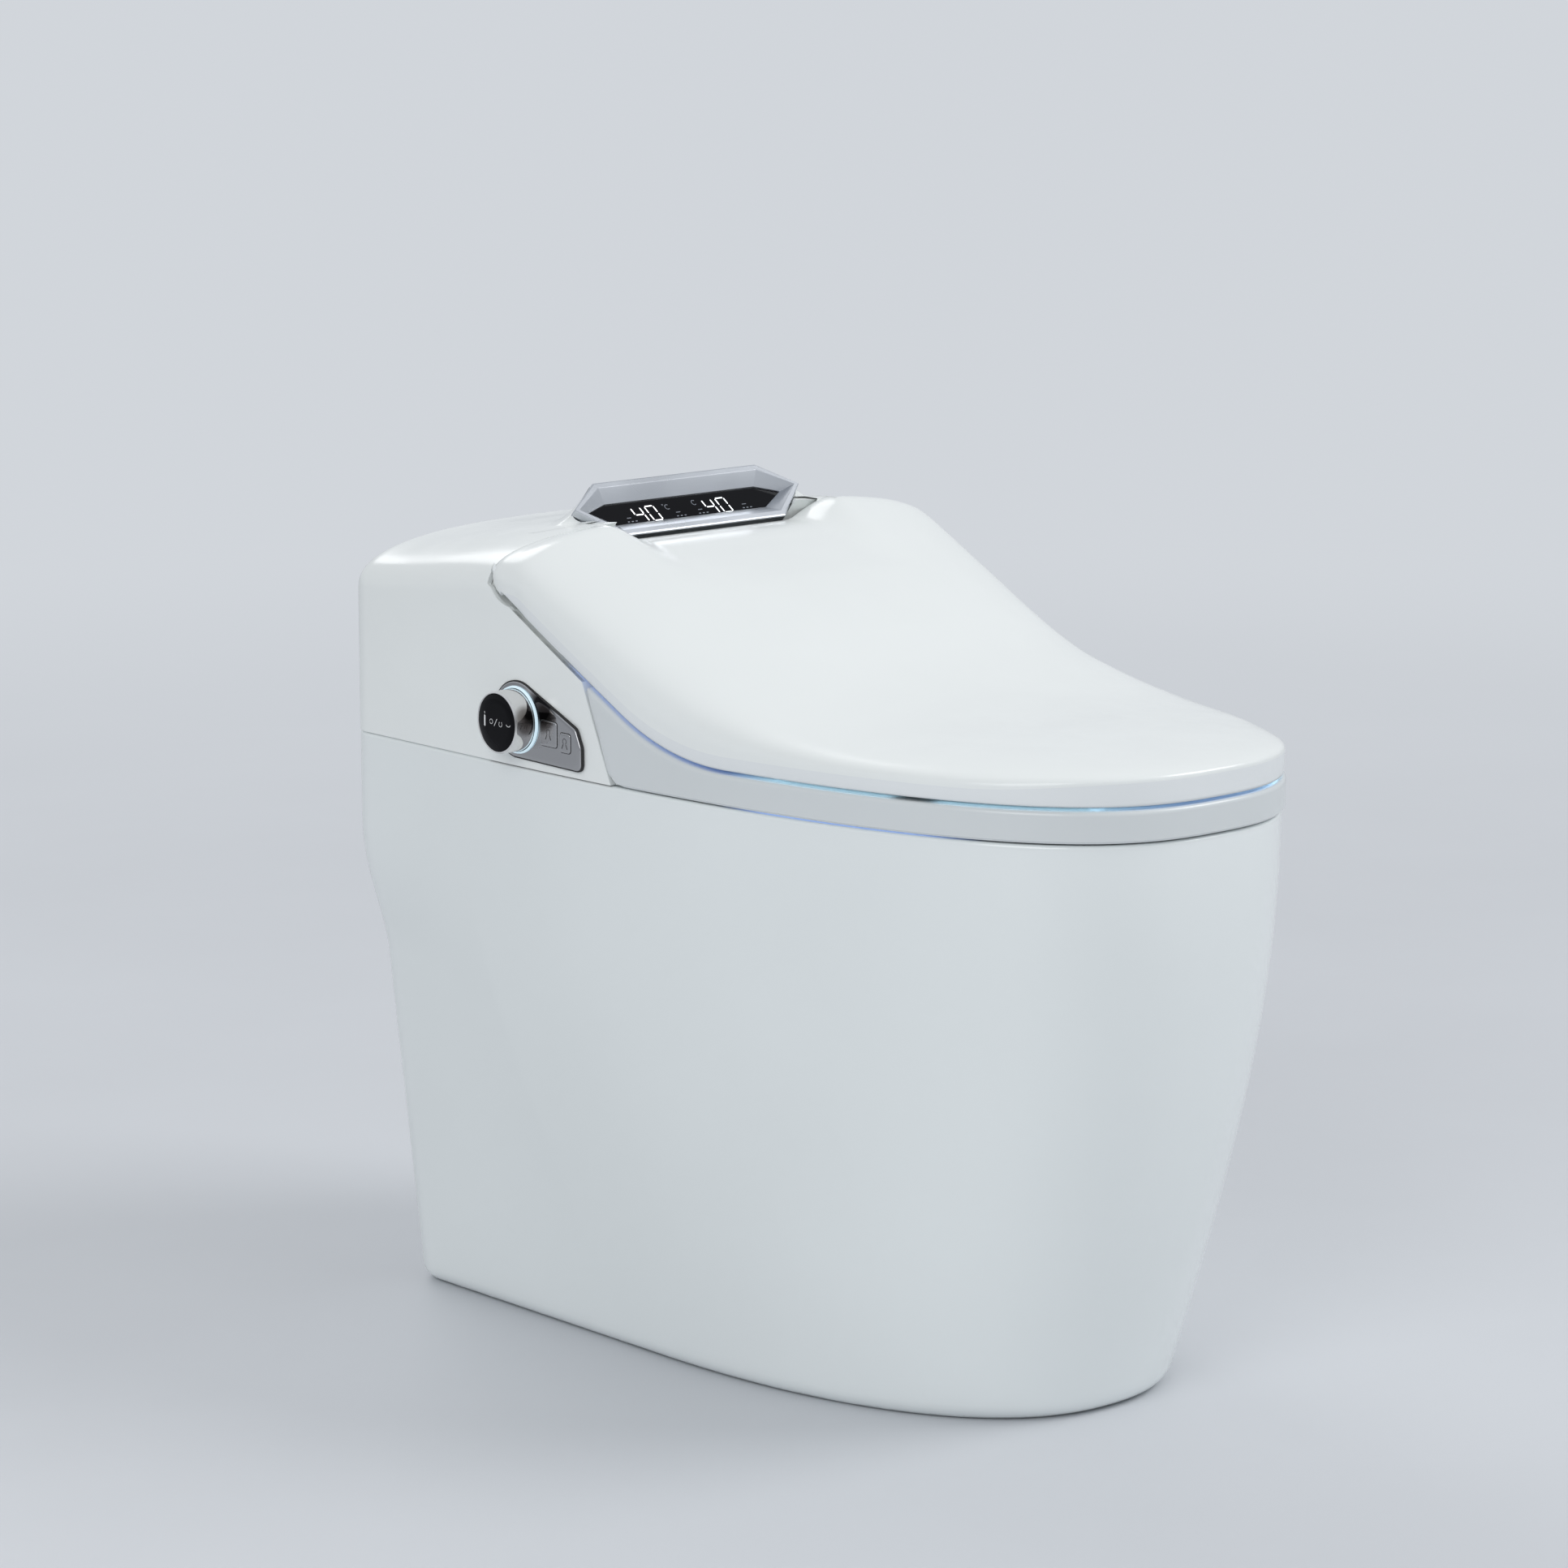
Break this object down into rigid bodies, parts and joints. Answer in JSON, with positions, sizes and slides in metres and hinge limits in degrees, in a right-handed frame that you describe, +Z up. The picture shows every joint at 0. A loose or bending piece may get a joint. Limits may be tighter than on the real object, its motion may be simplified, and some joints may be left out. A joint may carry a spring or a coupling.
{
  "type": "smart toilet",
  "caption": "One-piece floor-standing smart toilet with skirted ceramic, swept lid, heated seat, washing and drying unit, side knob and rear display pod.",
  "frame": {"origin": "centre of the floor outlet on the finished floor", "axes": "+Z up, +Y towards the wall, the nose points to -Y and the control knob is on the -X side"},
  "size_m": [0.3957, 0.6574, 0.5689],
  "materials": {
    "glazed_china": "gloss glaze",
    "white_plastic": "gloss",
    "white_plastic_inner": "satin gloss",
    "satin_silver": "satin",
    "black_glass": "polished",
    "bright_chrome": "mirror polish",
    "bright_steel": "polished",
    "zinc_steel": "zinc plate",
    "brushed_tank": "brushed",
    "brass_fitting": "machined",
    "grey_frame": "matt",
    "black_plastic": "matt",
    "green_board": "solder mask",
    "heater_film": "film",
    "blue_light": "translucent, lit",
    "pale_light": "translucent, lit",
    "black_rubber": "matt",
    "white_rubber": "matt"
  },
  "bodies": {
    "root": {"ceramic_pan": "glazed_china", "outlet_seal": "black_rubber", "chassis": "grey_frame", "deck_screws": "zinc_steel", "rear_housing": "white_plastic", "pod_base": "satin_silver", "display_bezel": "satin_silver", "display_glass": "black_glass", "display_board": "green_board", "lid_pins": "bright_steel", "seat_pins": "bright_steel", "side_plate": "bright_chrome", "knob_light_ring": "pale_light", "knob_encoder": "black_plastic", "switch_board": "green_board", "nozzle_cradle": "grey_frame", "dryer_duct": "black_plastic", "flap_pin": "bright_steel", "fan_case": "black_plastic", "fan_motor": "zinc_steel", "water_heater": "brushed_tank", "inlet_valve": "brass_fitting", "cable_gland": "black_rubber", "power_supply": "zinc_steel", "control_board": "green_board", "booster_pump": "black_plastic", "air_pump": "grey_frame", "flush_spout": "grey_frame"},
    "lid": {"lid_shell": "white_plastic", "lid_liner": "white_plastic_inner", "lid_light_guide": "blue_light", "lid_bumpers": "white_rubber", "lid_dampers": "grey_frame"},
    "seat": {"seat_upper_shell": "white_plastic", "seat_lower_shell": "white_plastic_inner", "seat_heater": "heater_film", "seat_bumpers": "white_rubber", "seat_light_guide": "blue_light"},
    "knob_spindle": {"knob_shaft": "bright_steel"},
    "knob": {"knob_shell": "bright_chrome", "knob_face": "black_glass"},
    "rear_wash_button": {"button_rear_wash": "bright_chrome"},
    "front_wash_button": {"button_front_wash": "bright_chrome"},
    "rear_wash_wand": {"wand_rear_wash": "bright_steel"},
    "front_wash_wand": {"wand_front_wash": "bright_steel"},
    "dryer_flap": {"dryer_flap": "grey_frame"},
    "fan_wheel": {"fan_impeller": "black_plastic"}
  },
  "joints": [
    {"name": "lid_hinge", "type": "hinge", "parent": "root", "child": "lid", "pos_m": [0, 0.116, 0.527], "axis": [-1, 0, 0], "range_deg": [0, 95]},
    {"name": "seat_hinge", "type": "hinge", "parent": "root", "child": "seat", "pos_m": [0, 0.064, 0.456], "axis": [-1, 0, 0], "range_deg": [0, 88]},
    {"name": "knob_turn", "type": "hinge", "parent": "root", "child": "knob_spindle", "pos_m": [-0.19, 0.1085, 0.4273], "axis": [-1, 0, 0], "continuous": true},
    {"name": "knob_press", "type": "slide", "parent": "knob_spindle", "child": "knob", "axis": [1, 0, 0], "range_m": [0, 0.0012], "stiffness_N_per_m": 1500, "springref_m": -0.0005},
    {"name": "rear_wash_press", "type": "slide", "parent": "root", "child": "rear_wash_button", "axis": [1, 0, 0], "range_m": [0, 0.0012], "stiffness_N_per_m": 1200, "springref_m": -0.0005},
    {"name": "front_wash_press", "type": "slide", "parent": "root", "child": "front_wash_button", "axis": [1, 0, 0], "range_m": [0, 0.0012], "stiffness_N_per_m": 1200, "springref_m": -0.0005},
    {"name": "rear_wand_slide", "type": "slide", "parent": "root", "child": "rear_wash_wand", "axis": [0, -0.9063, -0.4226], "range_m": [0, 0.085]},
    {"name": "front_wand_slide", "type": "slide", "parent": "root", "child": "front_wash_wand", "axis": [0, -0.9063, -0.4226], "range_m": [0, 0.085]},
    {"name": "dryer_flap_hinge", "type": "hinge", "parent": "root", "child": "dryer_flap", "pos_m": [0.062, 0.014, 0.3906], "axis": [-1, 0, 0], "range_deg": [0, 55]},
    {"name": "fan_spin", "type": "hinge", "parent": "root", "child": "fan_wheel", "pos_m": [0.062, 0.19, 0.41], "axis": [0, 0, 1], "continuous": true}
  ],
  "couplings": [
    {"joint": "seat_hinge", "follows": "lid_hinge", "ratio": 0.92}
  ]
}
